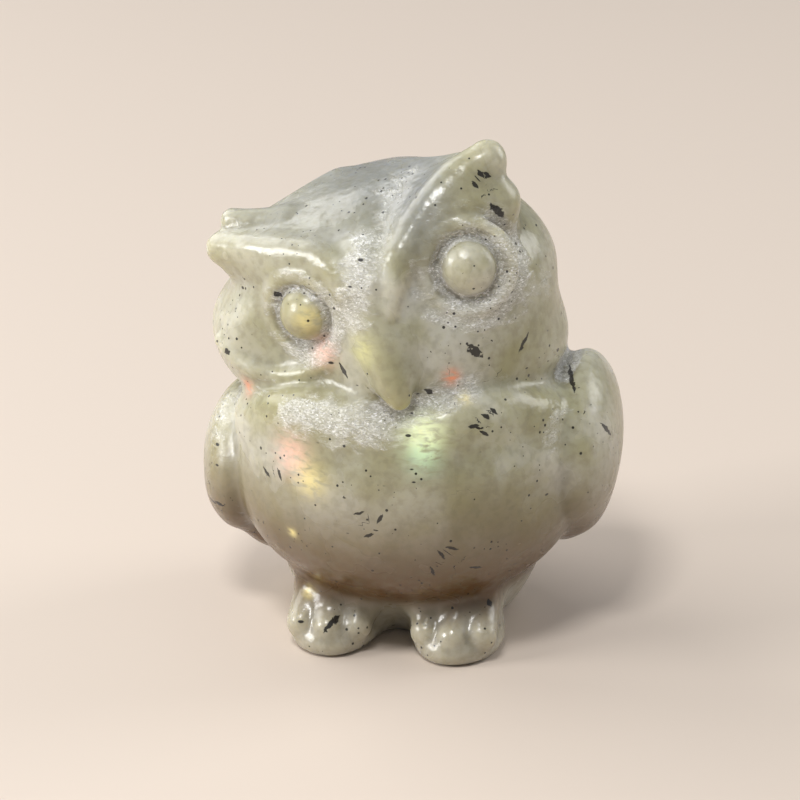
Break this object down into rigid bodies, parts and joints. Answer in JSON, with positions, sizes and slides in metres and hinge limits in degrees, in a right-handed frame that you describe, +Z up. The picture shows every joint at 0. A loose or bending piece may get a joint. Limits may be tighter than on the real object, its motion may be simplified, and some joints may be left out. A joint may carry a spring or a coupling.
{
  "type": "figurine",
  "caption": "Owl figurine carved from polished stone, with a cocked head, ear tufts, ringed eyes and folded wings, standing on its feet.",
  "frame": {"origin": "middle of the owl's outline seen from above, on the ground plane that its soles rest on", "axes": "+Z up from the soles to the ear tufts, -Y the way the owl's chest faces, +X towards the owl's own left wing"},
  "size_m": [0.0314, 0.0261, 0.038],
  "materials": {
    "labradorite": "polished"
  },
  "bodies": {
    "root": {"owl_figurine": "labradorite"}
  },
  "joints": []
}
